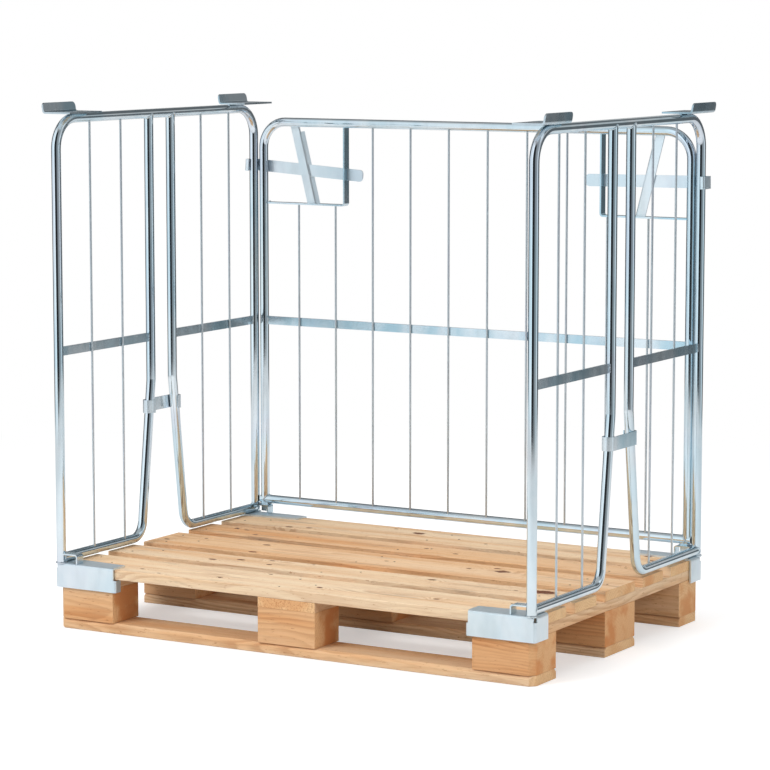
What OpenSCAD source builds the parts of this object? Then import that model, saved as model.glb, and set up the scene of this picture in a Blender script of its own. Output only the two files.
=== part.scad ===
// Cage on a four-way wooden pallet. Two bent-tube end frames stand on the pallet's corners in
// sheet-steel shoes, and a back panel drops in between them. The front is open.
// Millimetres. The origin is the middle of the pallet's underside. +X runs along the long side,
// -Y is the open front and +Z is up. Left is -X and right is +X.

/* [Pallet] */
// Length of the pallet
pallet_l = 1200; // [1000:5:1440]
// Width of the pallet
pallet_w = 800; // [660:5:960]
// Thickness of every board
board_t = 22; // [18:0.5:28]
// Height of the blocks
block_h = 78; // [70:1:100]
// Width of the wide boards, and length of the blocks
board_wide = 145; // [120:1:150]
// Width of the narrow deck boards, the outer skid boards and the outer blocks
board_narrow = 100; // [80:1:115]
// Corner cut on the pallet's four upright corners
corner_cut = 12; // [6:1:20]
// Bevel on the upper long edges of the skid boards
skid_bevel = 7; // [4:1:10]

/* [Tubes, wires and bars] */
// Outer diameter of every tube
tube_d = 21.3; // [18:0.1:25.6]
// Wall of every tube
tube_wall = 2; // [1.2:0.1:3]
// Diameter of the wires
wire_d = 5; // [3:0.5:6]
// Height of the flat cross bars
bar_h = 20; // [14:1:30]
// Thickness of the flat cross bars
bar_t = 5; // [3:0.5:8]
// Height of the cross bars' middle over the floor
bar_z = 622.5; // [610:0.5:700]

/* [End frames] */
// Height of the end frames over the floor
cage_h = 1149; // [950:1:1400]
// Distance of the end frames' middles inside the pallet's ends
frame_inset = 6; // [4:0.5:10]
// Centreline radius of the upper corners
frame_bend_r = 67; // [45:1:90]
// Spacing of the two inner tubes where they run side by side
inner_pitch = 87.5; // [80:0.5:120]
// Height of the kink where the inner tubes start to splay
kink_z = 520; // [490:1:580]
// Angle of the splayed stretch
splay = 7; // [3:0.5:9]
// Centreline radius of the kink
kink_r = 60; // [40:5:100]
// Centreline radius at the foot of the inner tubes
foot_r = 40; // [28:1:50]
// Number of wires between an inner tube and its upright
bay_wires = 2; // [1:1:4]

/* [Tie clips] */
// Distance of the clip's lower edge below the kink
clip_drop = 74; // [50:1:90]
// Height of the clip's strap
clip_h = 30; // [20:1:40]
// Thickness of the clip's strap
clip_t = 3; // [2:0.5:4]
// Reach of the clip's ends past the middle of each tube
clip_end = 7; // [4:1:8]
// Gap between the clip and the tubes
clip_gap = 0.35; // [0.3:0.05:0.8]

/* [Shoes] */
// Thickness of the shoe's sheet
shoe_t = 4; // [3:0.5:5]
// Gap between the shoe and the pallet's sides
shoe_gap = 2; // [1:0.5:5]
// Reach of the plate past the corner block
shoe_past = 6; // [2:1:6]
// Width of the plate across the pallet
shoe_w = 58; // [50:1:80]
// Reach of the flanges below the plate
shoe_drop = 51; // [46:1:60]
// Outer bend radius of the shoe's edges
shoe_r = 6; // [5:0.5:7]
// Narrowing of the plate towards its inner end
shoe_taper = 12; // [4:1:20]
// Width of the open notch at the folds' corner, along the pallet's end
notch_w = 10; // [8:1:14]
// Depth of the notch below the plate's top
notch_h = 13; // [8:1:16]
// Distance of the grip lip from the corner block
lip_gap = 8.5; // [8.5:0.5:18]
// Reach of the grip lip towards the pallet's middle
lip_l = 20; // [12:1:24]
// Gap between the grip lip and the deck boards above it
lip_play = 2; // [1:0.5:4]

/* [Panel sockets] */
// Length of the socket between its leg's outer face and the upright
socket_l = 36.5; // [32:0.5:45]
// Width of the socket
socket_w = 24; // [20:1:30]
// Height of the socket over the shoe
socket_h = 21.5; // [18:0.5:30]
// Thickness of the socket's strap
socket_t = 3; // [2:0.5:4]
// Width of the panel's tabs
tab_w = 18; // [12:1:20]
// Thickness of the panel's tabs
tab_t = 4; // [3:0.5:6]
// Reach of the tabs below the socket's top
tab_reach = 17.5; // [10:0.5:18]
// Distance of the tabs inside the uprights' middles
tab_in = 2; // [1:0.5:4]
// Play of a tab in its slot on each side
tab_play = 1.5; // [0.5:0.5:2]

/* [Stacking brackets] */
// Length of the bracket along the end frame
bracket_l = 120; // [90:1:150]
// Reach of the plate inside the tube's middle
bracket_in = 46; // [30:1:60]
// Reach of the plate outside the tube's middle
bracket_out = 28; // [18:1:35]
// Height of the upturned flange over the tube
bracket_h = 24; // [15:1:40]
// Thickness of the bracket's sheet
bracket_t = 4; // [3:0.5:5]
// Lean of the flange away from upright
bracket_lean = 10; // [0:1:25]
// Reach of the bracket past the middle of the upright
bracket_past = 10; // [5:1:20]
// Radius of the flange's upper corners
bracket_r = 10; // [4:1:12]

/* [Back panel] */
// Gap between the panel's uprights and the end frames' uprights
panel_gap = 3.7; // [3:0.1:10.5]
// Distance of the panel's middle behind the end frames' uprights
panel_back = 6; // [5:0.5:9]
// Distance of the panel's top tube below the end frames' top tubes
panel_drop = 33; // [28:1:60]
// Centreline radius of the panel's upper corners
panel_bend_r = 62; // [45:1:70]
// Number of wires in the panel
panel_wire_count = 10; // [8:2:12]

/* [Latches] */
// Height of the latch bar
latch_h = 28; // [18:1:32]
// Thickness of the latch bar
latch_t = 3; // [2:0.5:4]
// Distance of the latch's middle below the top of the end frames
latch_drop = 158; // [130:1:175]
// Distance of the latch's free end inside the end frame's middle
latch_reach = 297; // [280:1:320]
// Distance of the latch's finger outside the upright's middle
latch_finger = 6; // [4:0.5:8]
// Gap between the latch and the tubes that it passes
latch_gap = 2.2; // [2:0.1:2.6]
// Inside radius of the two folds of the latch's hook
latch_hook_r = 1; // [0.5:0.5:2]
// Slope of the left latch, in degrees; its free end hangs lower
left_latch_tilt = 3.8; // [0:0.1:4]
// Slope of the right latch, in degrees
right_latch_tilt = 0.7; // [0:0.1:4]
// Play of the latch in its slots
slot_play = 1; // [0.5:0.1:2]

/* [Latch guides] */
// Distance of the corner strip's upright leg inside the end frame's middle
strip_in = 250; // [235:1:270]
// Drop of the strip's level leg below the top of the panel
strip_drop = 207; // [195:1:230]
// Depth of the strip, front to back
strip_w = 22; // [20:1:28]
// Thickness of the strip
strip_t = 4; // [3:0.5:5]
// Centreline radius of the strip's corner
strip_r = 6; // [4:1:12]
// Distance of the brace's upper end inside the end frame's middle
brace_top_in = 105.5; // [95:0.5:115]
// Distance of the brace's lower end inside the end frame's middle
brace_foot_in = 155; // [140:1:170]
// Width of the brace without its flange
brace_w = 22; // [16:1:26]
// Thickness of the brace's sheet
brace_t = 3; // [2:0.5:4]
// Width of the flange that is bent back along the brace
brace_flange = 12; // [11:1:14]
// Angle by which the flange is bent back, in degrees
brace_bend = 65; // [45:5:80]
// Length of the brace's top that has no flange
brace_bare = 27; // [20:1:40]

/* [Hidden] */

// Gap left at each welded joint, which the weld fills
weld = 0.05;
// Gap under the seated back panel
seat_gap = 0.35;
// Amount by which a cutter runs past what it cuts
over = 1;
// Amount by which a bend's skin stands proud of the straight stretches that run into it
bend_grow = 0.04;
$grow = 0;

tube_r = tube_d / 2;
wire_r = wire_d / 2;

// Levels of the pallet
block_z = board_t;
cross_z = block_z + block_h;
deck_z = cross_z + board_t;
deck_top = deck_z + board_t;

// Widths of the five deck boards from front to rear, and the gap between them
deck_w = [board_wide, board_narrow, board_wide, board_narrow, board_wide];
deck_gap = (pallet_w - 3 * board_wide - 2 * board_narrow) / 4;
// Middles of the pallet's outer rows
row_x = (pallet_l - board_wide) / 2;
row_y = (pallet_w - board_narrow) / 2;

// End frames
frame_x = pallet_l / 2 - frame_inset;
upright_y = pallet_w / 2;
inner_y = inner_pitch / 2;
shoe_top = deck_top + shoe_t;
top_z = cage_h - tube_r;
rail_z = shoe_top + weld + tube_r;
// Where the splayed stretch would meet the foot rail if it weren't bent
foot_y = inner_y + (kink_z - rail_z) * tan(splay);
clip_z = kink_z - clip_drop;

// Outer faces of the shoes, the plate's length and the lip's middle
shoe_x = pallet_l / 2 + shoe_gap + shoe_t;
shoe_y = pallet_w / 2 + shoe_gap + shoe_t;
shoe_l = shoe_x - pallet_l / 2 + board_wide + shoe_past;
lip_x = pallet_l / 2 - board_wide - lip_gap - shoe_t / 2;

// Back panel
socket_top = shoe_top + socket_h;
panel_x = frame_x - tube_d - panel_gap;
panel_y = upright_y + panel_back;
panel_top = top_z - panel_drop;
panel_rail_z = socket_top + seat_gap + tube_r;
tab_x = frame_x - tube_r - socket_l / 2;
tab_y = upright_y - tab_in;

// Latches and their guides
latch_z = cage_h - latch_drop;
latch_y = panel_y + tube_r + latch_gap + latch_t / 2;
slot_w = latch_t + 2 * slot_play;
slot_h = latch_h + 2 * slot_play;
strip_x = frame_x - strip_in - strip_t / 2;
strip_z = panel_top + tube_r - strip_drop;
strip_y = latch_y + slot_w / 2 + strip_t - strip_w / 2;
brace_y = latch_y - (slot_w + brace_t) / 2 - weld;
brace_foot_x = frame_x - brace_foot_in;
brace_foot_z = strip_z + strip_t / 2 + weld;
brace_lean = atan2(brace_foot_in - brace_top_in, panel_top - brace_foot_z);

// Centreline radius of a fold in sheet or strap
function fold(t) = 1.5 * t;

// Turn of a route at its point i, positive to the left
function route_turn(p, i) =
    let (a = p[i] - p[i - 1], b = p[i + 1] - p[i])
    atan2(a.x * b.y - a.y * b.x, a * b);

// Straight length that the bend at point i takes off on each side
function bend_trim(p, i, r) =
    i == 0 || i == len(p) - 1 ? 0 : r * tan(abs(route_turn(p, i)) / 2);

// Length that is left straight between points i and i + 1
function route_straight(p, i, r) =
    norm(p[i + 1] - p[i]) - bend_trim(p, i, r[i]) - bend_trim(p, i + 1, r[i + 1]);

// Straight stretches [length, 0] and bends [radius, turn] along a route of points
function route_steps(p, r) = [
    for (i = [0 : len(p) - 2]) each concat(
        i == 0 ? [] : [[r[i], route_turn(p, i)]],
        route_straight(p, i, r) > weld ? [[route_straight(p, i, r), 0]] : [])];

// Length by which a straight stretch runs into the bend that is step i
function bend_lap(steps, i) = i < 0 || i >= len(steps) ? 0 : sqrt(steps[i][0] * bend_grow);

// Carries a symmetric profile along the steps, starting at the origin towards +Y
module bent(steps, i = 0) {
    if (i < len(steps)) {
        size = steps[i][0];
        turn = steps[i][1];
        side = turn > 0 ? 1 : -1;
        if (turn == 0) {
            end_lap = bend_lap(steps, i + 1);
            translate([0, size, 0]) {
                translate([0, end_lap, 0]) rotate([90, 0, 0])
                    linear_extrude(bend_lap(steps, i - 1) + size + end_lap) children();
                bent(steps, i + 1) children();
            }
        } else {
            translate([-side * size, 0, 0]) {
                rotate([0, 0, side > 0 ? 0 : 180 + turn])
                    rotate_extrude(angle = abs(turn), $fn = 96)
                        translate([size, 0]) let ($grow = bend_grow) children();
                rotate([0, 0, turn])
                    translate([side * size, 0, 0]) bent(steps, i + 1) children();
            }
        }
    }
}

// Carries a profile along a flat route of points; r holds the centreline radius at each point
module along(p, r) {
    first = p[1] - p[0];
    translate(p[0]) rotate([0, 0, atan2(first.y, first.x) - 90])
        bent(route_steps(p, r)) children();
}

module tube_profile() {
    difference() {
        circle(r = tube_r + $grow, $fn = 48);
        circle(r = tube_r - tube_wall - $grow, $fn = 48);
    }
}

// Cross-section of a strap that lies along a route
module strap_profile(t, w) {
    square([t + 2 * $grow, w + 2 * $grow], center = true);
}

// Rectangle left of and below the origin, with the corner at the origin rounded
module rounded_quarter(l, w, r) {
    difference() {
        translate([-l, -w]) square([l, w]);
        difference() {
            translate([-r, -r]) square(r + over);
            translate([-r, -r]) circle(r = r, $fn = 48);
        }
    }
}

// Rectangle that ends at the origin with two rounded corners
module rounded_end(l, w, r) {
    intersection() {
        translate([0, w / 2]) rounded_quarter(l, w, r);
        translate([0, -w / 2]) mirror([0, 1]) rounded_quarter(l, w, r);
    }
}

// Stands a flat shape up in the plane of an end frame: its X runs along Y, its Y up
module in_frame_plane(x) {
    translate([x, 0, 0]) rotate([90, 0, 90]) children();
}

// Stands a flat shape up across the cage: its X stays, its Y runs up
module in_panel_plane(y) {
    translate([0, y, 0]) rotate([90, 0, 0]) children();
}

// Space taken by a tube along X, Y or Z, cut out of what is welded to it
module tube_along_x(y, z) {
    translate([0, y, z]) rotate([0, 90, 0])
        cylinder(r = tube_r + weld, h = 2 * pallet_l, center = true, $fn = 48);
}

module tube_along_y(x, z) {
    translate([x, 0, z]) rotate([90, 0, 0])
        cylinder(r = tube_r + weld, h = 2 * pallet_w, center = true, $fn = 48);
}

module tube_along_z(x, y) {
    translate([x, y, 0]) cylinder(r = tube_r + weld, h = cage_h, $fn = 48);
}

// Right-hand pieces are drawn, and left-hand ones are their mirror image
module on_side(side) {
    mirror([side == "left" ? 1 : 0, 0, 0]) children();
}

// Rear pieces are drawn, and front ones are their mirror image
module at_end(end) {
    mirror([0, end == "front" ? 1 : 0, 0]) children();
}

module pine() {
    color([0.88, 0.71, 0.51]) children();
}

module zinc() {
    color([0.78, 0.83, 0.87]) children();
}

module dark_zinc() {
    color([0.5, 0.56, 0.6]) children();
}

// The pallet's outline with its corners cut, between two levels
module pallet_outline(z, h) {
    x = pallet_l / 2;
    y = pallet_w / 2;
    c = corner_cut;
    translate([0, 0, z]) linear_extrude(h)
        polygon([[c - x, -y], [x - c, -y], [x, c - y], [x, y - c],
            [x - c, y], [c - x, y], [-x, y - c], [-x, c - y]]);
}

// Front edge of deck board i, counted from the front
function deck_edge(i) = i == 0 ? -pallet_w / 2 : deck_edge(i - 1) + deck_w[i - 1] + deck_gap;

module deck_board(i) {
    pine() intersection() {
        translate([-pallet_l / 2, deck_edge(i), deck_z]) cube([pallet_l, deck_w[i], board_t]);
        pallet_outline(deck_z, board_t);
    }
}

// Board across the pallet under the deck; column is -1, 0 or 1
module cross_board(column) {
    pine() intersection() {
        translate([column * row_x - board_wide / 2, -pallet_w / 2, cross_z])
            cube([board_wide, pallet_w, board_t]);
        pallet_outline(cross_z, board_t);
    }
}

// Block; column and row are -1, 0 or 1
module block(column, row) {
    depth = row == 0 ? board_wide : board_narrow;
    pine() intersection() {
        translate([column * row_x - board_wide / 2, row * row_y - depth / 2, block_z])
            cube([board_wide, depth, block_h]);
        pallet_outline(block_z, block_h);
    }
}

// Skid board with bevelled upper edges; row is -1, 0 or 1
module skid_board(row) {
    half = (row == 0 ? board_wide : board_narrow) / 2;
    low = board_t - skid_bevel;
    pine() intersection() {
        translate([0, row * row_y, 0]) in_frame_plane(-pallet_l / 2) linear_extrude(pallet_l)
            polygon([[-half, 0], [half, 0], [half, low], [half - skid_bevel, board_t],
                [skid_bevel - half, board_t], [-half, low]]);
        pallet_outline(0, board_t);
    }
}

// Upside-down U that makes an end frame's two uprights and its top
module outer_tube(side) {
    foot = shoe_top + weld;
    zinc() on_side(side) in_frame_plane(frame_x)
        along([[-upright_y, foot], [-upright_y, top_z], [upright_y, top_z], [upright_y, foot]],
            [0, frame_bend_r, frame_bend_r, 0])
            tube_profile();
}

// J-shaped tube: foot rail, splayed stretch and straight stretch up to the top tube
module inner_tube(side, end) {
    zinc() on_side(side) at_end(end) difference() {
        in_frame_plane(frame_x)
            along([[upright_y, rail_z], [foot_y, rail_z], [inner_y, kink_z], [inner_y, top_z]],
                [0, foot_r, kink_r, 0])
                tube_profile();
        tube_along_z(frame_x, upright_y);
        tube_along_y(frame_x, top_z);
    }
}

// Flat bar between an upright and an inner tube
module frame_cross_bar(side, end) {
    zinc() on_side(side) at_end(end) difference() {
        translate([frame_x - bar_t / 2, inner_y, bar_z - bar_h / 2])
            cube([bar_t, upright_y - inner_y, bar_h]);
        tube_along_z(frame_x, upright_y);
        tube_along_z(frame_x, inner_y);
    }
}

// The wires of both bays, on the inner face of the cross bars
module frame_wires(side) {
    x = frame_x - bar_t / 2 - wire_r - weld;
    pitch = (upright_y - inner_y) / (bay_wires + 1);
    zinc() on_side(side) difference() {
        for (end = ["front", "rear"], k = [1 : bay_wires])
            at_end(end) translate([x, inner_y + k * pitch, rail_z])
                cylinder(r = wire_r, h = top_z - rail_z, $fn = 24);
        tube_along_y(frame_x, rail_z);
        tube_along_y(frame_x, top_z);
    }
}

// Strap on the outside of an end frame that hooks round both splayed tubes. It drops until
// it is tight, and is lifted before the frame's two halves are sprung apart.
module tie_clip(side) {
    bend = tube_r + clip_gap + clip_t / 2;
    widest = inner_y + clip_drop * tan(splay) + bend;
    tip = widest - bend - clip_end;
    inside = frame_x - bend;
    outside = frame_x + bend;
    zinc() on_side(side) translate([0, 0, clip_z + clip_h / 2])
        along([[inside, tip], [inside, widest], [outside, widest],
                [outside, -widest], [inside, -widest], [inside, -tip]],
            [0, bend, bend, bend, bend, 0])
            strap_profile(clip_t, clip_h);
}

// Block with its outer top corner at a point, running inwards and down, with rounded
// upper edges and a rounded upright edge
module rounded_corner(x, y, z, l, w, h, r) {
    intersection() {
        translate([x, y, z - h]) linear_extrude(h) rounded_quarter(l, w, r);
        translate([x, 0, z]) in_panel_plane(y) linear_extrude(w) rounded_quarter(l, h, r);
        translate([0, y, z]) in_frame_plane(x - l) linear_extrude(l) rounded_quarter(w, h, r);
    }
}

// Folded sheet shoe: a tapering plate, two flanges with a notch where all folds meet, and a
// lip that grips under the deck behind the corner block
module shoe(side, end) {
    inner_x = shoe_x - shoe_t;
    inner_y = shoe_y - shoe_t;
    plate_z = shoe_top - shoe_t;
    flange_y = shoe_y - shoe_t / 2;
    lip_foot = plate_z - shoe_drop;
    lip_h = deck_z - lip_play - lip_foot;
    zinc() on_side(side) at_end(end) {
        difference() {
            rounded_corner(shoe_x, shoe_y, shoe_top, shoe_l, shoe_w, shoe_drop + shoe_t, shoe_r);
            rounded_corner(inner_x, inner_y, plate_z,
                shoe_l, shoe_w, shoe_drop + over, shoe_r - shoe_t);
            translate([inner_x - over, shoe_y - notch_w, shoe_top - notch_h])
                cube([2 * shoe_t, 2 * notch_w, 2 * notch_h]);
            translate([inner_x - shoe_t, shoe_y - shoe_w, plate_z - over])
                rotate([0, 0, 180 - atan2(shoe_taper, shoe_l)])
                    cube([2 * shoe_l, shoe_w, 2 * shoe_t]);
        }
        translate([0, 0, lip_foot + lip_h / 2])
            along([[shoe_x - shoe_l + over, flange_y], [lip_x, flange_y],
                    [lip_x, shoe_y - lip_l]],
                [0, shoe_r - shoe_t / 2, 0])
                strap_profile(shoe_t, lip_h);
    }
}

// Bent strap beside an upright, with a slot that takes a tab of the panel
module socket(side, end) {
    level = socket_top - socket_t / 2;
    leg_x = frame_x - tube_r - socket_l + socket_t / 2;
    slot = [tab_w + 2 * tab_play, tab_t + 2 * tab_play, 2 * socket_t];
    zinc() on_side(side) at_end(end) difference() {
        in_panel_plane(shoe_y - socket_w / 2)
            along([[frame_x - tube_r + socket_t, level], [leg_x, level], [leg_x, shoe_top + weld]],
                [0, fold(socket_t), 0])
                strap_profile(socket_t, socket_w);
        tube_along_z(frame_x, upright_y);
        tube_along_y(frame_x, rail_z);
        translate([tab_x, tab_y, level]) cube(slot, center = true);
    }
}

// Plate on the top tube with an upturned flange that keeps the cage stacked above in place
module stacking_bracket(side, end) {
    level = cage_h + weld + bracket_t / 2;
    fold_x = frame_x + bracket_out - bracket_t / 2;
    rise = cage_h + bracket_h - level;
    middle_y = upright_y + bracket_past - bracket_l / 2;
    dark_zinc() on_side(side) at_end(end) intersection() {
        in_panel_plane(middle_y)
            along([[frame_x - bracket_in, level], [fold_x, level],
                    [fold_x + rise * tan(bracket_lean), level + rise]],
                [0, fold(bracket_t), 0])
                strap_profile(bracket_t, bracket_l);
        translate([0, middle_y, cage_h + bracket_h]) in_frame_plane(0)
            linear_extrude(pallet_l) rotate(90) rounded_end(2 * bracket_h, bracket_l, bracket_r);
    }
}

// Upside-down U that makes the panel's uprights and top
module panel_frame_tube() {
    foot = panel_rail_z;
    zinc() difference() {
        in_panel_plane(panel_y)
            along([[-panel_x, foot], [-panel_x, panel_top], [panel_x, panel_top], [panel_x, foot]],
                [0, panel_bend_r, panel_bend_r, 0])
                tube_profile();
        tube_along_x(panel_y, panel_rail_z);
    }
}

// Tube along the panel's foot, with open ends
module panel_bottom_tube() {
    end_x = panel_x + tube_r;
    zinc() in_panel_plane(panel_y)
        along([[-end_x, panel_rail_z], [end_x, panel_rail_z]], [0, 0]) tube_profile();
}

module panel_cross_bar() {
    zinc() difference() {
        translate([0, panel_y, bar_z]) cube([2 * panel_x, bar_t, bar_h], center = true);
        for (x = [-panel_x, panel_x]) tube_along_z(x, panel_y);
    }
}

// The panel's wires; those outside the corner strips stop below them
module panel_wires() {
    pitch = 2 * panel_x / (panel_wire_count + 1);
    y = panel_y - bar_t / 2 - wire_r - weld;
    below_strip = strip_z - strip_t / 2 - weld;
    zinc() difference() {
        for (k = [1 : panel_wire_count])
            let (x = k * pitch - panel_x, top = abs(x) > strip_x ? below_strip : panel_top)
                translate([x, y, panel_rail_z])
                    cylinder(r = wire_r, h = top - panel_rail_z, $fn = 24);
        tube_along_x(panel_y, panel_rail_z);
        tube_along_x(panel_y, panel_top);
    }
}

// Tab under the panel's foot that drops into a socket
module panel_tab(side) {
    foot = socket_top - tab_reach;
    zinc() on_side(side) difference() {
        translate([tab_x - tab_w / 2, tab_y - tab_t / 2, foot])
            cube([tab_w, tab_t, panel_rail_z - foot]);
        tube_along_x(panel_y, panel_rail_z);
    }
}

// Slopes what belongs to a latch, about the point where the latch crosses its brace
module latch_sloped(side) {
    crossing = frame_x - (brace_top_in + brace_foot_in) / 2;
    translate([crossing, 0, latch_z])
        rotate([0, side == "left" ? -left_latch_tilt : -right_latch_tilt, 0])
            translate([-crossing, 0, -latch_z]) children();
}

// Slot that the latch slides in
module latch_slot(side, x, l) {
    latch_sloped(side) translate([x, latch_y, latch_z])
        cube([l, slot_w, slot_h], center = true);
}

// Strap bent to a right angle between the panel's top tube and upright
module corner_strip(side) {
    zinc() on_side(side) difference() {
        in_panel_plane(strip_y)
            along([[strip_x, panel_top - tube_r / 2], [strip_x, strip_z],
                    [panel_x - tube_r / 2, strip_z]],
                [0, strip_r, 0])
                strap_profile(strip_t, strip_w);
        tube_along_x(panel_y, panel_top);
        tube_along_z(panel_x, panel_y);
        latch_slot(side, strip_x, 2 * strip_t);
    }
}

// Leaning sheet brace in front of the latch; its inner edge is bent back and guides the latch
module brace(side) {
    length = norm([brace_foot_in - brace_top_in, panel_top - brace_foot_z]);
    tip = brace_w / 2 + brace_flange * cos(brace_bend);
    zinc() on_side(side) difference() {
        translate([brace_foot_x, brace_y, brace_foot_z]) rotate([0, brace_lean, 0])
            difference() {
                along([[brace_w / 2, 0], [-brace_w / 2, 0], [-tip, brace_flange * sin(brace_bend)]],
                    [0, fold(brace_t), 0])
                    strap_profile(brace_t, 2 * (length + brace_w));
                translate([-brace_w / 2 - 2 * brace_flange, -brace_t, length - brace_bare])
                    cube([2 * brace_flange, 2 * brace_flange, 2 * brace_w]);
            }
        translate([0, 0, brace_foot_z - pallet_l])
            cube([pallet_l, 2 * pallet_w, pallet_l]);
        translate([0, 0, panel_top]) cube([pallet_l, 2 * pallet_w, pallet_l]);
        tube_along_x(panel_y, panel_top);
        latch_slot(side, brace_foot_x, 2 * brace_foot_in);
    }
}

// Flat bar that slides in its guides and hooks round the end frame's upright
module latch_bar(side) {
    outer_x = frame_x + tube_r + latch_gap + latch_t / 2;
    finger_y = upright_y - tube_r - latch_gap - latch_t / 2;
    free_x = frame_x - latch_reach;
    bend = latch_hook_r + latch_t / 2;
    zinc() on_side(side) latch_sloped(side) intersection() {
        translate([0, 0, latch_z])
            along([[free_x, latch_y], [outer_x, latch_y], [outer_x, finger_y],
                    [frame_x + latch_finger, finger_y]],
                [0, bend, bend, 0])
                strap_profile(latch_t, latch_h);
        translate([free_x, 0, latch_z]) in_panel_plane(2 * pallet_w)
            linear_extrude(2 * pallet_w) rotate(180) rounded_end(pallet_l, latch_h, latch_h / 3);
    }
}

deck_board(0);  // deck_board_front
deck_board(1);  // deck_board_front_narrow
deck_board(2);  // deck_board_middle
deck_board(3);  // deck_board_rear_narrow
deck_board(4);  // deck_board_rear
cross_board(-1);  // cross_board_left
cross_board(0);  // cross_board_middle
cross_board(1);  // cross_board_right
block(-1, -1);  // block_front_left
block(0, -1);  // block_front_middle
block(1, -1);  // block_front_right
block(-1, 0);  // block_middle_left
block(0, 0);  // block_centre
block(1, 0);  // block_middle_right
block(-1, 1);  // block_rear_left
block(0, 1);  // block_rear_middle
block(1, 1);  // block_rear_right
skid_board(-1);  // skid_board_front
skid_board(0);  // skid_board_middle
skid_board(1);  // skid_board_rear
outer_tube("left");  // left_outer_tube
inner_tube("left", "front");  // left_front_inner_tube
inner_tube("left", "rear");  // left_rear_inner_tube
frame_cross_bar("left", "front");  // left_front_cross_bar
frame_cross_bar("left", "rear");  // left_rear_cross_bar
frame_wires("left");  // left_wires
tie_clip("left");  // left_tie_clip
shoe("left", "front");  // left_front_shoe
shoe("left", "rear");  // left_rear_shoe
socket("left", "front");  // left_front_socket
socket("left", "rear");  // left_rear_socket
stacking_bracket("left", "front");  // left_front_stacking_bracket
stacking_bracket("left", "rear");  // left_rear_stacking_bracket
outer_tube("right");  // right_outer_tube
inner_tube("right", "front");  // right_front_inner_tube
inner_tube("right", "rear");  // right_rear_inner_tube
frame_cross_bar("right", "front");  // right_front_cross_bar
frame_cross_bar("right", "rear");  // right_rear_cross_bar
frame_wires("right");  // right_wires
tie_clip("right");  // right_tie_clip
shoe("right", "front");  // right_front_shoe
shoe("right", "rear");  // right_rear_shoe
socket("right", "front");  // right_front_socket
socket("right", "rear");  // right_rear_socket
stacking_bracket("right", "front");  // right_front_stacking_bracket
stacking_bracket("right", "rear");  // right_rear_stacking_bracket
panel_frame_tube();
panel_bottom_tube();
panel_cross_bar();
panel_wires();
panel_tab("left");  // panel_left_tab
panel_tab("right");  // panel_right_tab
corner_strip("left");  // panel_left_corner_strip
corner_strip("right");  // panel_right_corner_strip
brace("left");  // panel_left_brace
brace("right");  // panel_right_brace
latch_bar("left");  // left_latch_bar
latch_bar("right");  // right_latch_bar
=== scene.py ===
"""Looks of the pallet container: pine pallet, bright zinc-plated cage, studio floor, light and camera."""

import math
import random

import bmesh
import bpy
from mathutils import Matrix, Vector


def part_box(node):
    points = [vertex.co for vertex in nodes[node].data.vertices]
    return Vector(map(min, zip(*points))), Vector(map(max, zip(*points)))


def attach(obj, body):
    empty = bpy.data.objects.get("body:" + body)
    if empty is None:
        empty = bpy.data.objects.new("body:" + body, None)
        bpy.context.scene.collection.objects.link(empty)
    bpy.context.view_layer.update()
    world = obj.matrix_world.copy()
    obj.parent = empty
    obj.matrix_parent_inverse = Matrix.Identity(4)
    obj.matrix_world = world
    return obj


SEED = 7
WHITE = (1.0, 1.0, 1.0, 1.0)
UP = Vector((0, 0, 1))

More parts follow.
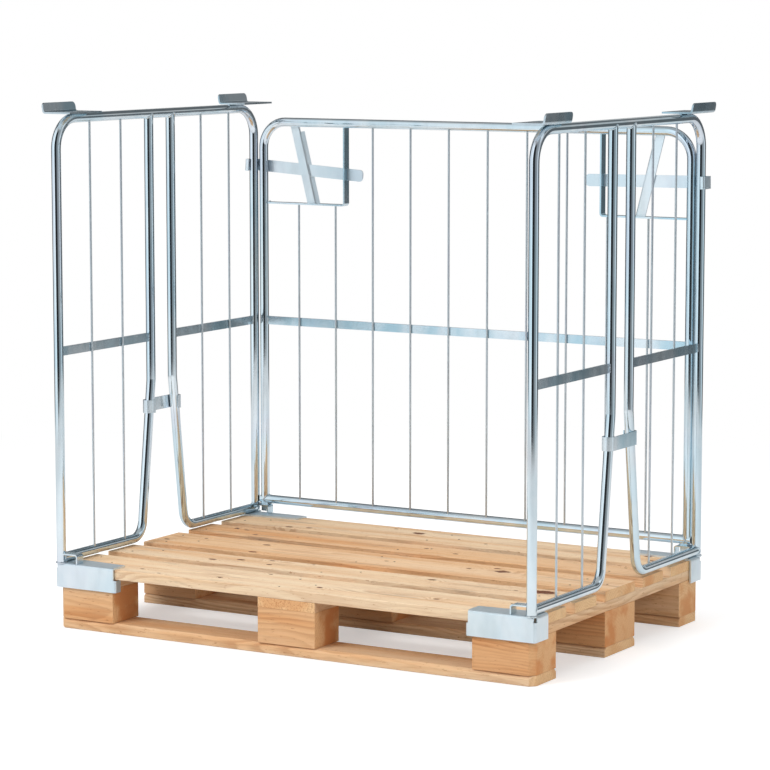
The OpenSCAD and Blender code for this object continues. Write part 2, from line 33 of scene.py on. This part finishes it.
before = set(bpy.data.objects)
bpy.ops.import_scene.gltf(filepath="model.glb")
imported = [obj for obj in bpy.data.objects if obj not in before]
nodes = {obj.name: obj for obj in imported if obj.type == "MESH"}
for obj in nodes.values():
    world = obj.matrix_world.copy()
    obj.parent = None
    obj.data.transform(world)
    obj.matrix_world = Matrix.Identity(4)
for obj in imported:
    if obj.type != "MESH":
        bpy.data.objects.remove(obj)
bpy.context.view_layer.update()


class Graph:
    """Short names for making the nodes of one material or world."""

    def __init__(self, owner):
        owner.use_nodes = True
        self.tree = owner.node_tree
        self.tree.nodes.clear()

    def put(self, socket, value):
        if isinstance(value, bpy.types.NodeSocket):
            self.tree.links.new(value, socket)
        else:
            socket.default_value = value

    def add(self, kind, values, out=0, **settings):
        node = self.tree.nodes.new("ShaderNode" + kind)
        for name, value in settings.items():
            setattr(node, name, value)
        for name, value in values.items():
            self.put(node.inputs[name], value)
        return node.outputs[out] if node.outputs else None

    def math(self, operation, *values):
        return self.add("Math", dict(enumerate(values)), operation=operation)

    def vector(self, operation, *values, out=0):
        return self.add("VectorMath", dict(enumerate(values)), out=out, operation=operation)

    def step(self, value, low, high, start=0.0, end=1.0):
        """Smooth change from start to end as value goes from low to high."""
        values = {"Value": value, "From Min": low, "From Max": high}
        values.update({"To Min": start, "To Max": end})
        return self.add("MapRange", values, interpolation_type="SMOOTHSTEP")

    def noise(self, vector, detail=2.0, roughness=0.5, distortion=0.0):
        values = {"Vector": vector, "Scale": 1.0, "Detail": detail}
        values.update({"Roughness": roughness, "Distortion": distortion})
        return self.add("TexNoise", values)

    def stretched(self, point, scale, shift=(0.0, 0.0, 0.0)):
        """The point times scale, axis by axis, plus shift."""
        return self.vector("MULTIPLY_ADD", point, scale, shift)

    def mix(self, factor, first, second):
        """Mixes two colours; their sockets share their names with others, so they go by number."""
        node = self.tree.nodes.new("ShaderNodeMix")
        node.data_type = "RGBA"
        self.put(node.inputs[0], factor)
        self.put(node.inputs[6], first)
        self.put(node.inputs[7], second)
        return node.outputs[2]

    def xyz(self, vector):
        node = self.tree.nodes.new("ShaderNodeSeparateXYZ")
        self.put(node.inputs[0], vector)
        return node.outputs

    def join(self, x, y, z):
        return self.add("CombineXYZ", {0: x, 1: y, 2: z})

    def place(self):
        """Place on the object, which doesn't change when its body moves."""
        return self.add("TexCoord", {}, out="Object")

    def bump(self, height, distance, strength):
        values = {"Height": height, "Distance": distance, "Strength": strength}
        return self.add("Bump", values)

    def surface(self, values):
        shader = self.add("BsdfPrincipled", values)
        self.add("OutputMaterial", {"Surface": shader})


def rgb(red, green, blue):
    """A colour given as sRGB from 0 to 255."""
    def linear(value):
        share = value / 255
        return share / 12.92 if share <= 0.04045 else ((share + 0.055) / 1.055) ** 2.4

    return (linear(red), linear(green), linear(blue), 1.0)


# Wood
SAPWOOD = rgb(234, 217, 189)
PINE = rgb(230, 190, 142)
HEARTWOOD = rgb(206, 138, 84)
LATEWOOD = rgb(166, 108, 66)
END_WOOD = rgb(238, 202, 154)
RED_KNOT = rgb(128, 66, 38)
BARK = rgb(64, 38, 28)
STAIN = rgb(150, 132, 116)
# patches per metre: the saw's grit, the lumps round a knot, the heart in the end grain
GRIT = (420.0, 420.0, 420.0)
LUMPS = (110.0, 110.0, 110.0)
BLOTCHES = (14.0, 14.0, 14.0)
# growth rings: how far the pith lies aside and above or below, their slant and their spacing
PITH_ASIDE = 0.06
PITH_AWAY = (0.02, 0.06)
RING_SLANT = 0.03
RING_SPACING = (0.0055, 0.008)
# grit on the end grain of what runs in X, and of the cross boards, which are sawn rougher
END_GRIT = (0.35, 0.7)


def pine(name, along, centre, warmth, dust, knots, seed):
    """Sawn pine with its grain along axis 0 or 1, redder as warmth goes from 0 to 1, with grey
    streaks as strong as dust. Knots are (distance along, distance across, radius) from centre,
    on the upper face."""
    material = bpy.data.materials.new(name)
    g = Graph(material)
    here = g.vector("SUBTRACT", g.place(), centre)
    x, y, z = g.xyz(here)
    run, side = (x, y) if along == 0 else (y, x)
    grain = g.join(run, side, z)
    chance = random.Random(seed)
    shift = tuple(chance.uniform(-9, 9) for _ in range(3))

    def streaks(length, width, **settings):
        """Noise drawn out along the grain; length and width are those of its patches."""
        scale = (1 / length, 1 / width, 1 / width)
        return g.noise(g.stretched(grain, scale, shift), **settings)

    # knots push the rings aside
    knot = 0.0
    push = 0.0
    grit = g.noise(g.stretched(here, GRIT, shift), detail=3.0)
    lumps = g.noise(g.stretched(here, LUMPS, shift))
    for knot_run, knot_side, radius in knots:
        d_run = g.math("MULTIPLY", g.math("SUBTRACT", run, knot_run), 0.6 / radius)
        d_side = g.math("DIVIDE", g.math("SUBTRACT", side, knot_side), radius)
        away = g.vector("LENGTH", g.join(d_run, d_side, 0.0), out=1)
        away = g.math("ADD", away, g.math("SUBTRACT", lumps, 0.5))
        push = g.math("ADD", push, g.step(away, 0.7, 4.0, 0.014, 0.0))
        knot = g.math("MAXIMUM", knot, g.step(away, 0.6, 1.1, 1.0, 0.0))

    # growth rings round a pith that wanders above or below the board
    pith_side = chance.uniform(-PITH_ASIDE, PITH_ASIDE)
    pith_z = chance.choice((-1, 1)) * chance.uniform(*PITH_AWAY)
    wander = g.math("MULTIPLY", g.math("SUBTRACT", streaks(0.5, 0.16), 0.5), 0.09)
    to_side = g.math("ADD", g.math("SUBTRACT", side, pith_side), wander)
    to_z = g.math("ADD", g.math("SUBTRACT", z, pith_z), g.math("MULTIPLY", wander, 0.5))
    depth = g.vector("LENGTH", g.join(0.0, to_side, to_z), out=1)
    slant = chance.uniform(-RING_SLANT, RING_SLANT)
    depth = g.math("ADD", depth, g.math("MULTIPLY", run, slant))
    depth = g.math("ADD", depth, push)
    turns = g.math("MULTIPLY", depth, 1 / chance.uniform(*RING_SPACING))
    turns = g.math("ADD", turns, g.math("MULTIPLY", streaks(0.14, 0.009, detail=3.0), 0.7))
    phase = g.math("FRACT", turns)
    ring = g.math("MULTIPLY", g.step(phase, 0.2, 0.8), g.step(phase, 0.86, 1.0, 1.0, 0.0))
    clear = g.step(streaks(0.3, 0.05), 0.38, 0.62, 0.25, 1.0)
    late = g.math("MULTIPLY", ring, clear)

    # sapwood and heartwood in broad streaks, then rings, fibres and short dark flecks
    band = streaks(0.8, 0.05, detail=3.0, roughness=0.6)
    colour = g.mix(g.step(band, 0.3, 0.7, warmth, min(1.0, warmth + 0.5)), SAPWOOD, PINE)
    red = g.step(band, 0.5, 0.75, 0.6 * warmth, min(1.0, warmth + 0.2))
    colour = g.mix(red, colour, HEARTWOOD)
    colour = g.mix(g.math("MULTIPLY", late, 0.4), colour, LATEWOOD)
    fibre = streaks(0.05, 0.0014)
    colour = g.mix(g.step(fibre, 0.5, 0.8, 0.0, 0.35), colour, LATEWOOD)
    fleck = g.step(streaks(0.018, 0.003, detail=2.0, roughness=0.7), 0.64, 0.7)
    colour = g.mix(g.math("MULTIPLY", fleck, 0.65), colour, LATEWOOD)

    # end grain is speckled and crossed by the saw
    normal = g.xyz(g.add("NewGeometry", {}, out="Normal"))[along]
    end = g.step(g.math("ABSOLUTE", normal), 0.55, 0.8)
    sawn = g.mix(g.step(grit, 0.52, 0.66, 0.0, END_GRIT[along]), END_WOOD, LATEWOOD)
    sawn = g.mix(g.math("MULTIPLY", ring, 0.15), sawn, LATEWOOD)
    blotch = g.noise(g.stretched(here, BLOTCHES, shift), detail=3.0)
    heart = g.step(blotch, 0.42, 0.58, 0.5 * warmth, min(1.0, 1.5 * warmth))
    sawn = g.mix(heart, sawn, HEARTWOOD)
    colour = g.mix(end, colour, sawn)

    # knots, then dust and handling marks
    core = g.mix(g.step(grit, 0.4, 0.62), BARK, RED_KNOT)
    colour = g.mix(g.math("MULTIPLY", knot, 0.95), colour, core)
    worn = streaks(0.25, 0.03, detail=5.0, roughness=0.7)
    worn = g.math("MULTIPLY", g.step(worn, 0.56, 0.7, 0.0, dust), g.step(end, 0.0, 1.0, 1.0, 0.2))
    colour = g.mix(worn, colour, STAIN)

    height = g.math("ADD", g.math("MULTIPLY", ring, 0.3), g.math("MULTIPLY", fibre, 0.9))
    height = g.math("SUBTRACT", height, g.math("MULTIPLY", fleck, 0.6))
    height = g.math("ADD", height, g.math("MULTIPLY", g.math("MULTIPLY", end, grit), 1.5))
    g.surface({
        "Base Color": colour,
        "Roughness": g.step(fibre, 0.2, 0.8, 0.6, 0.78),
        "Specular IOR Level": 0.25,
        "Normal": g.bump(height, 0.0008, 0.6),
    })
    return material


# Steel
ZINC = rgb(228, 238, 244)
ZINC_TEAL = rgb(168, 206, 222)
ZINC_LILAC = rgb(214, 210, 228)
ZINC_STRAW = rgb(228, 222, 204)
ZINC_GREY = rgb(140, 154, 162)


def zinc(name, roughness, blue=0.5, stain=0.3, dull=0.0, metallic=1.0):
    """Bright zinc plate: teal, lilac and straw films in soft clouds, rubbed grey in places."""
    material = bpy.data.materials.new(name)
    g = Graph(material)
    here = g.place()

    def cloud(size, height, shift, **settings):
        """Noise in patches of that size and height, from another part of it for each shift."""
        scale = (1 / size, 1 / size, 1 / height)
        return g.noise(g.stretched(here, scale, shift), **settings)

    teal = cloud(0.16, 0.3, (0.0, 0.0, 0.0), detail=4.0, roughness=0.6)
    colour = g.mix(g.step(teal, 0.38, 0.62, 0.0, blue), ZINC, ZINC_TEAL)
    lilac = cloud(0.11, 0.2, (3.1, 8.2, 5.5), detail=3.0)
    colour = g.mix(g.step(lilac, 0.52, 0.7, 0.0, stain), colour, ZINC_LILAC)
    straw = cloud(0.2, 0.35, (4.2, 1.3, 7.7), detail=3.0)
    colour = g.mix(g.step(straw, 0.55, 0.75, 0.0, stain), colour, ZINC_STRAW)
    rub = cloud(0.03, 0.08, (1.7, 6.4, 2.2), detail=3.0)
    colour = g.mix(g.step(rub, 0.45, 0.8, dull, min(1.0, dull + 0.12)), colour, ZINC_GREY)
    g.surface({
        "Base Color": colour,
        "Metallic": metallic,
        "Roughness": g.step(rub, 0.3, 0.75, roughness, roughness * 1.4),
        "Normal": g.bump(cloud(0.02, 0.06, (0.0, 0.0, 0.0)), 0.0002, 0.3),
    })
    return material


def nail_steel(name):
    """Wire nails, dulled by the hammer."""
    material = bpy.data.materials.new(name)
    g = Graph(material)
    spots = g.noise(g.stretched(g.place(), (500.0, 500.0, 500.0)), detail=4.0)
    g.surface({
        "Base Color": g.mix(spots, rgb(60, 52, 48), rgb(104, 96, 90)),
        "Metallic": 0.4,
        "Roughness": g.step(spots, 0.3, 0.7, 0.5, 0.7),
    })
    return material


# Bevelled edges: points nearer than the first are joined, and edges are sharp from the second on
JOIN_WITHIN = 0.00002
SHARP_FROM = 40
WOOD_EDGE = 0.0015


def paint(obj, material):
    obj.data.materials.clear()
    obj.data.materials.append(material)


def soften(obj, width):
    """Rounds the sharp edges of a CAD node, whose faces are joined first."""
    weld = obj.modifiers.new("weld", "WELD")
    weld.merge_threshold = JOIN_WITHIN
    bevel = obj.modifiers.new("bevel", "BEVEL")
    bevel.width = width
    bevel.segments = 2
    bevel.limit_method = "ANGLE"
    bevel.angle_limit = math.radians(SHARP_FROM)
    bevel.harden_normals = True


# Knots are (distance along, distance across, radius) from the middle of their board
BIG_KNOTS = {
    "deck_board_front_narrow": ((0.49, 0.02, 0.02),),
    "deck_board_middle": ((0.3, 0.02, 0.013),),
    "deck_board_rear": ((-0.1, 0.02, 0.012),),
}
SMALL_KNOTS = 7
SMALL_KNOT_R = (0.0025, 0.0075)
# small knots keep within these shares of the board's length and width, either way of its middle
KNOT_REACH = (0.48, 0.42)
WARMTH = {"cross_board": 0.35, "block": 0.65, "skid_board": 0.3, "deck_board": 0.08}
OWN_WARMTH = {
    "deck_board_middle": 0.45, "deck_board_rear_narrow": 0.4,
    "block_front_right": 0.85, "block_middle_right": 0.95, "block_rear_right": 0.45,
}
# strength of the grey streaks: goods and shoes soil the deck most
DECK_DUST = 0.5
CLEAN_DUST = 0.12


def board_knots(name, chance, length, width):
    """The big knots of a deck board and a scatter of small ones."""
    knots = list(BIG_KNOTS.get(name, ()))
    for _ in range(SMALL_KNOTS):
        run = chance.uniform(-KNOT_REACH[0], KNOT_REACH[0]) * length
        side = chance.uniform(-KNOT_REACH[1], KNOT_REACH[1]) * width
        knots.append((run, side, chance.uniform(*SMALL_KNOT_R)))
    return knots


def dress_wood():
    """Gives every board and block its own pine, with knots in the deck boards."""
    wooden = sorted(name for name in nodes if name.startswith(tuple(WARMTH)))
    for index, name in enumerate(wooden):
        low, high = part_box(name)
        kind = next(kind for kind in WARMTH if name.startswith(kind))
        along = 1 if kind == "cross_board" else 0
        chance = random.Random(SEED + index)
        warmth = OWN_WARMTH.get(name, WARMTH[kind]) + chance.uniform(-0.1, 0.1)
        dust = DECK_DUST if kind == "deck_board" else CLEAN_DUST
        knots = ()
        if kind == "deck_board":
            knots = board_knots(name, chance, high.x - low.x, high.y - low.y)
        paint(nodes[name], pine(
            "pine_" + name, along, (low + high) / 2, warmth, dust, knots, SEED + index))
        soften(nodes[name], WOOD_EDGE)


def dress_steel():
    """Gives every steel node the zinc of its kind, which is told by the end of its name."""
    tube = zinc("zinc_tube", 0.06, blue=0.4)
    wire = zinc("zinc_wire", 0.35, blue=0.0, stain=0.3, dull=0.2)
    sheet = zinc("zinc_sheet", 0.3, blue=0.3, stain=0.15, metallic=0.8)
    bar = zinc("zinc_bar", 0.2, blue=0.8, stain=0.15)
    dull = zinc("zinc_dull", 0.26, blue=0.8, stain=0.1, dull=0.35)
    kinds = (
        ("wires", wire), ("tube", tube), ("stacking_bracket", dull), ("shoe", sheet),
        ("socket", bar), ("cross_bar", bar), ("tie_clip", bar), ("tab", bar),
        ("corner_strip", bar), ("brace", sheet), ("latch_bar", sheet))
    for name in nodes:
        for ending, material in kinds:
            if name.endswith(ending):
                paint(nodes[name], material)
                break


# Nails and welds
NAIL_R = 0.0026
NAIL_R_SPREAD = (0.85, 1.1)
# share of the radius and height over the wood of each ring of a nail's head
NAIL_DOME = ((1.0, -0.0004), (0.96, 0.0003), (0.6, 0.0006))
NAIL_SIDES = 12
# nails stand this far off the middle of the block by turns, and stray along and across the board
NAIL_STAGGER = 0.03
NAIL_STRAY = (0.012, 0.006)
WIDE_BOARD_NAILS = (0.2, 0.5, 0.8)
NARROW_BOARD_NAILS = (0.3, 0.7)
# radius of the weld beads: round a tube's end, round an upright's foot, at a bar's end, beside a
# stacking bracket and at a corner strip's end
TUBE_BEAD = 0.0022
FOOT_BEAD = 0.0024
BAR_BEAD = 0.0013
BRACKET_BEAD = 0.002
STRIP_BEAD = 0.0026
BEAD_SIDES = 8
BEAD_LUMPS = (0.75, 1.2)
BEAD_TIP = 0.4
# beads under a bracket: their length, how far they sit off the tube's top and below it
BRACKET_BEAD_L = 0.024
BRACKET_BEAD_OFF = 0.45
BRACKET_BEAD_LOW = 0.001
# the top tube's bends reach this far from the uprights, and no bead goes on them
TOP_BEND = 0.06


def circle_turns(sides):
    """Angles of the corners of a regular polygon."""
    return [2 * math.pi * k / sides for k in range(sides)]


def add_piece(name, shape, material, body):
    """Makes a piece of the bmesh shape, which rides on a CAD body."""
    mesh = bpy.data.meshes.new(name)
    bmesh.ops.recalc_face_normals(shape, faces=shape.faces)
    shape.to_mesh(mesh)
    shape.free()
    obj = bpy.data.objects.new(name, mesh)
    bpy.context.scene.collection.objects.link(obj)
    paint(obj, material)
    for polygon in mesh.polygons:
        polygon.use_smooth = True
    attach(obj, body)


def join_rings(shape, rings, closed):
    """Faces between rings of points, with caps where the row of rings isn't closed."""
    count = len(rings[0])
    pairs = list(zip(rings, rings[1:]))
    if closed:
        pairs.append((rings[-1], rings[0]))
    else:
        shape.faces.new(rings[0])
        shape.faces.new(reversed(rings[-1]))
    for one, other in pairs:
        for k in range(count):
            shape.faces.new((one[k - 1], one[k], other[k], other[k - 1]))


def nail_head(shape, place, radius):
    """Slightly domed head that faces up."""
    rings = []
    for share, lift in NAIL_DOME:
        rings.append([shape.verts.new((
            place[0] + radius * share * math.cos(turn),
            place[1] + radius * share * math.sin(turn),
            place[2] + lift)) for turn in circle_turns(NAIL_SIDES)])
    join_rings(shape, rings, closed=False)


def add_deck_nails():
    """Three nails in each wide board and two in each narrow one, over every row of blocks."""
    chance = random.Random(SEED)
    shape = bmesh.new()
    blocks = ["block_front_" + side for side in ("left", "middle", "right")]
    rows = [sum(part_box(block), Vector()).x / 2 for block in blocks]
    for name in sorted(name for name in nodes if name.startswith("deck_board")):
        low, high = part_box(name)
        shares = NARROW_BOARD_NAILS if name.endswith("narrow") else WIDE_BOARD_NAILS
        for row in rows:
            for k, share in enumerate(shares):
                x = row + (NAIL_STAGGER if k % 2 else -NAIL_STAGGER)
                x += chance.uniform(-NAIL_STRAY[0], NAIL_STRAY[0])
                y = low.y + share * (high.y - low.y)
                y += chance.uniform(-NAIL_STRAY[1], NAIL_STRAY[1])
                nail_head(shape, (x, y, high.z), NAIL_R * chance.uniform(*NAIL_R_SPREAD))
    add_piece("deck_nails", shape, nail_steel("nail_steel"), "cage")


class Beads:
    """Weld beads collected in one shape."""

    def __init__(self):
        self.shape = bmesh.new()
        self.chance = random.Random(SEED)

    def run(self, points, outs, radius, closed=False):
        """A lumpy bead along points; outs point away from the joint."""
        rings = []
        count = len(points)
        for i, (point, out) in enumerate(zip(points, outs)):
            if closed:
                ahead = points[(i + 1) % count] - points[i - 1]
            else:
                ahead = points[min(i + 1, count - 1)] - points[max(i - 1, 0)]
            across = ahead.cross(out).normalized()
            size = radius * self.chance.uniform(*BEAD_LUMPS)
            if not closed and i in (0, count - 1):
                size *= BEAD_TIP
            rings.append([self.shape.verts.new(
                point + (out * math.cos(turn) + across * math.sin(turn)) * size)
                for turn in circle_turns(BEAD_SIDES)])
        join_rings(self.shape, rings, closed)

    def straight(self, start, end, out, radius):
        """A bead from start to end."""
        steps = max(3, round((end - start).length / (radius * 0.8)))
        points = [start.lerp(end, i / steps) for i in range(steps + 1)]
        self.run(points, [out.normalized()] * len(points), radius)

    def saddle(self, middle, axis, across, inner, outer, radius):
        """Round the end of a round piece of radius inner, which leaves a tube of radius outer at
        its middle and points along axis; the tube runs along across."""
        third = axis.cross(across)
        points = []
        outs = []
        steps = max(10, round(2 * math.pi * inner / (radius * 0.9)))
        for i in range(steps):
            turn = 2 * math.pi * i / steps
            flat = across * math.cos(turn) + third * math.sin(turn)
            rise = math.sqrt(max(outer ** 2 - (inner * math.sin(turn)) ** 2, 0))
            points.append(middle + flat * inner + axis * rise)
            outs.append((flat + axis * 0.8).normalized())
        self.run(points, outs, radius, closed=True)


def steel_sizes(side):
    """Of one end frame: where its uprights stand in X and either way of the middle in Y, the
    radius of its tubes and the level of the top tube's middle."""
    low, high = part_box(side + "_outer_tube")
    radius = (high.x - low.x) / 2
    return (low.x + high.x) / 2, high.y - radius, radius, high.z - radius


def add_cage_welds(material):
    """Beads round the ends of the tubes, bars, sockets and brackets of both end frames."""
    beads = Beads()
    for side in ("left", "right"):
        x, upright_y, tube_r, top_z = steel_sizes(side)
        for end, way in (("front", -1), ("rear", 1)):
            low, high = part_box(side + "_" + end + "_inner_tube")
            inner_y = way * min(abs(low.y), abs(high.y)) + way * tube_r
            rail_z = low.z + tube_r
            inward = Vector((0, -way, 0))
            upright = Vector((x, way * upright_y, 0))
            top = Vector((x, inner_y, top_z))
            beads.saddle(top, -UP, inward, tube_r, tube_r, TUBE_BEAD)
            rail = upright + UP * rail_z
            beads.saddle(rail, inward, UP, tube_r, tube_r, TUBE_BEAD)
            shoe_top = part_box(side + "_" + end + "_socket")[0].z
            foot = upright + UP * shoe_top
            beads.saddle(foot, UP, inward, tube_r, 0.0, FOOT_BEAD)
            bar_low, bar_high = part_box(side + "_" + end + "_cross_bar")
            for y, out in ((bar_low.y, -1), (bar_high.y, 1)):
                for face_x in (bar_low.x, bar_high.x):
                    away = Vector((face_x - x, out * 0.001, 0))
                    start = Vector((face_x, y, bar_low.z))
                    beads.straight(start, Vector((face_x, y, bar_high.z)), away, BAR_BEAD)
            plate_low, plate_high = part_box(side + "_" + end + "_stacking_bracket")
            level = top_z + tube_r
            for y_share in (0.3, 0.8):
                y = plate_low.y + y_share * (plate_high.y - plate_low.y)
                if abs(y) > upright_y - TOP_BEND:
                    continue
                for away in (-1, 1):
                    start = Vector((
                        x + away * tube_r * BRACKET_BEAD_OFF, y - BRACKET_BEAD_L / 2,
                        level - BRACKET_BEAD_LOW))
                    end_at = start + Vector((0, BRACKET_BEAD_L, 0))
                    beads.straight(start, end_at, Vector((away, 0, 0.3)), BRACKET_BEAD)
    add_piece("cage_welds", beads.shape, material, "cage")


def add_panel_welds(material):
    """Beads round the ends of the back panel's bottom tube, cross bar and corner strips."""
    beads = Beads()
    low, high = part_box("panel_frame_tube")
    tube_low, tube_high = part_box("panel_bottom_tube")
    tube_r = (tube_high.z - tube_low.z) / 2
    middle_y = (tube_low.y + tube_high.y) / 2
    tube_z = (tube_low.z + tube_high.z) / 2
    bar_low, bar_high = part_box("panel_cross_bar")
    for side, way in (("left", -1), ("right", 1)):
        upright_x = (low.x if way < 0 else high.x) - way * tube_r
        inward = Vector((-way, 0, 0))
        joint = Vector((upright_x, middle_y, tube_z))
        beads.saddle(joint, inward, UP, tube_r, tube_r, TUBE_BEAD)
        bar_x = bar_low.x if way < 0 else bar_high.x
        for y in (bar_low.y, bar_high.y):
            away = Vector((-way * 0.001, y - middle_y, 0))
            start = Vector((bar_x, y, bar_low.z))
            beads.straight(start, Vector((bar_x, y, bar_high.z)), away, BAR_BEAD)
        strip_low, strip_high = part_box("panel_" + side + "_corner_strip")
        end_x = (strip_low.x if way < 0 else strip_high.x) + way * -0.001
        level = Vector((end_x, 0, strip_low.z + 0.004))
        for y in (strip_low.y + 0.003, strip_high.y - 0.003):
            start = level + Vector((0, y - 0.003, 0))
            beads.straight(start, start + Vector((0, 0.006, 0)), UP + inward, STRIP_BEAD)
    add_piece("panel_welds", beads.shape, material, "back_panel")


# Studio
FLOOR_R = 5.0
FLOOR_DROP = 0.0005
FLOOR_GREY = (0.7, 0.7, 0.7, 1.0)
# light added to the paper near the object, as seen by the camera and in gloss
FLOOR_LIFT = (0.42, 0.12)
# the paper turns plain white from the first distance to the second; its levels are as above
WHITE_FROM = (1.8, 3.2)
WHITE_LEVEL = (1.0, 0.8)
# in gloss the paper fades out between these distances
FLOOR_ENDS = (3.5, 4.3)
FILL_LIGHT = 0.5
CAMERA_AT = Vector((3.4447, -5.8313, 1.3992))
CAMERA_YAW = 30.49
CAMERA_PITCH = 7.208
FOCAL_PIXELS = 3051.0
PICTURE_SIDE = 770


def seen_directly(g):
    """1 for what the camera, gloss or glass sees, 0 for light that falls on surfaces."""
    path = "LightPath"
    camera = g.add(path, {}, out="Is Camera Ray")
    glossy = g.add(path, {}, out="Is Glossy Ray")
    through = g.add(path, {}, out="Is Transmission Ray")
    return g.math("MAXIMUM", g.math("MAXIMUM", camera, glossy), through)


def make_floor():
    """Pale paper that keeps the object's shadow and turns white away from it."""
    mesh = bpy.data.meshes.new("floor")
    shape = bmesh.new()
    bmesh.ops.create_circle(shape, cap_ends=True, segments=96, radius=FLOOR_R)
    shape.to_mesh(mesh)
    shape.free()
    floor = bpy.data.objects.new("floor", mesh)
    bpy.context.scene.collection.objects.link(floor)
    floor.location.z = -FLOOR_DROP
    material = bpy.data.materials.new("floor")
    g = Graph(material)
    away = g.vector("LENGTH", g.place(), out=1)
    matt = g.add("BsdfDiffuse", {"Color": FLOOR_GREY})
    glossy = g.add("LightPath", {}, out="Is Glossy Ray")
    lift = g.add("Emission", {"Color": WHITE, "Strength": g.step(glossy, 0.0, 1.0, *FLOOR_LIFT)})
    lifted = g.add("AddShader", {0: matt, 1: lift})
    near = g.add("MixShader", {0: seen_directly(g), 1: matt, 2: lifted})
    white = g.add("Emission", {"Color": WHITE, "Strength": g.step(glossy, 0.0, 1.0, *WHITE_LEVEL)})
    far = g.math("MULTIPLY", g.step(away, *WHITE_FROM), seen_directly(g))
    paper = g.add("MixShader", {0: far, 1: near, 2: white})
    past = g.math("MULTIPLY", g.step(away, *FLOOR_ENDS), glossy)
    clear = g.add("BsdfTransparent", {})
    g.add("OutputMaterial", {"Surface": g.add("MixShader", {0: past, 1: paper, 2: clear})})
    paint(floor, material)


# Brightness of the studio's walls as gloss sees them, by compass angle in degrees
WALLS = (
    (-180, 0.08), (-172, 0.1), (-166, 0.9), (-120, 0.92), (-112, 1.2), (-97, 1.2), (-92, 0.02),
    (-50, 0.03), (-34, 0.32), (6, 0.4), (12, 0.9), (30, 0.9), (38, 0.14), (116, 0.14), (180, 0.08))
WALL_TINT = (0.93, 1.0, 1.04)
STRIP_LIGHT = (0.55, 0.55, 0.55, 1.0)
CEILING = (0.5, 0.5, 0.5, 1.0)
# name, place, aim, size and power
SOFTBOXES = (
    ("key", (-1.8, -4.2, 4.0), (0.0, 0.0, 0.3), 2.6, 190),
    ("top", (0.5, 0.5, 4.6), (0.0, 0.0, 0.0), 3.0, 70),
    ("side", (4.6, -1.6, 2.6), (0.0, 0.0, 0.3), 1.6, 60))


def studio_walls(g):
    """Bright and black cards all round, a strip light high on the far side and a grey ceiling."""
    x, y, z = g.xyz(g.add("TexCoord", {}, out="Generated"))
    turn = g.math("ARCTAN2", y, x)
    share = g.math("ADD", g.math("DIVIDE", turn, 2 * math.pi), 0.5)
    ramp = g.tree.nodes.new("ShaderNodeValToRGB")
    g.put(ramp.inputs[0], share)
    stops = ramp.color_ramp.elements
    for k, (angle, level) in enumerate(WALLS):
        place = angle / 360 + 0.5
        stop = stops[k] if k < 2 else stops.new(place)
        stop.position = place
        stop.color = tuple(level * part for part in WALL_TINT) + (1.0,)
    strip = g.math("MULTIPLY", g.step(z, 0.16, 0.22), g.step(z, 0.36, 0.44, 1.0, 0.0))
    strip = g.math("MULTIPLY", strip, g.step(y, 0.1, 0.3))
    walls = g.mix(strip, ramp.outputs[0], STRIP_LIGHT)
    return g.mix(g.step(z, 0.7, 0.9), walls, CEILING)


def make_world():
    """Plain even light, a white background, and the studio's walls in the gloss."""
    world = bpy.data.worlds.new("studio")
    bpy.context.scene.world = world
    g = Graph(world)
    light = g.add("Background", {"Color": WHITE, "Strength": FILL_LIGHT})
    seen = g.add("Background", {"Color": WHITE, "Strength": 1.0})
    shine = g.add("Background", {"Color": studio_walls(g), "Strength": 1.0})
    back = g.add("MixShader", {0: seen_directly(g), 1: light, 2: seen})
    glossy = g.add("LightPath", {}, out="Is Glossy Ray")
    g.add("OutputWorld", {"Surface": g.add("MixShader", {0: glossy, 1: back, 2: shine})})


def make_softbox(name, place, aim, size, power):
    """A square lamp that isn't seen itself, neither by the camera nor in gloss."""
    light = bpy.data.lights.new(name, "AREA")
    light.shape = "SQUARE"
    light.size = size
    light.energy = power
    lamp = bpy.data.objects.new(name, light)
    bpy.context.scene.collection.objects.link(lamp)
    lamp.location = place
    lamp.rotation_mode = "QUATERNION"
    lamp.rotation_quaternion = (Vector(aim) - Vector(place)).to_track_quat("-Z", "Y")
    lamp.visible_camera = False
    lamp.visible_glossy = False


def make_camera():
    data = bpy.data.cameras.new("camera")
    data.sensor_width = 36.0
    data.lens = data.sensor_width * FOCAL_PIXELS / PICTURE_SIDE
    camera = bpy.data.objects.new("camera", data)
    bpy.context.scene.collection.objects.link(camera)
    camera.location = CAMERA_AT
    camera.rotation_euler = (math.radians(90 - CAMERA_PITCH), 0, math.radians(CAMERA_YAW))
    data.clip_start = 0.1
    data.clip_end = 100.0
    bpy.context.scene.camera = camera


dress_wood()
dress_steel()
add_deck_nails()
weld = zinc("zinc_weld", 0.3, blue=0.3)
add_cage_welds(weld)
add_panel_welds(weld)
make_floor()
make_world()
for softbox in SOFTBOXES:
    make_softbox(*softbox)
make_camera()
bpy.context.scene.view_settings.view_transform = "Standard"
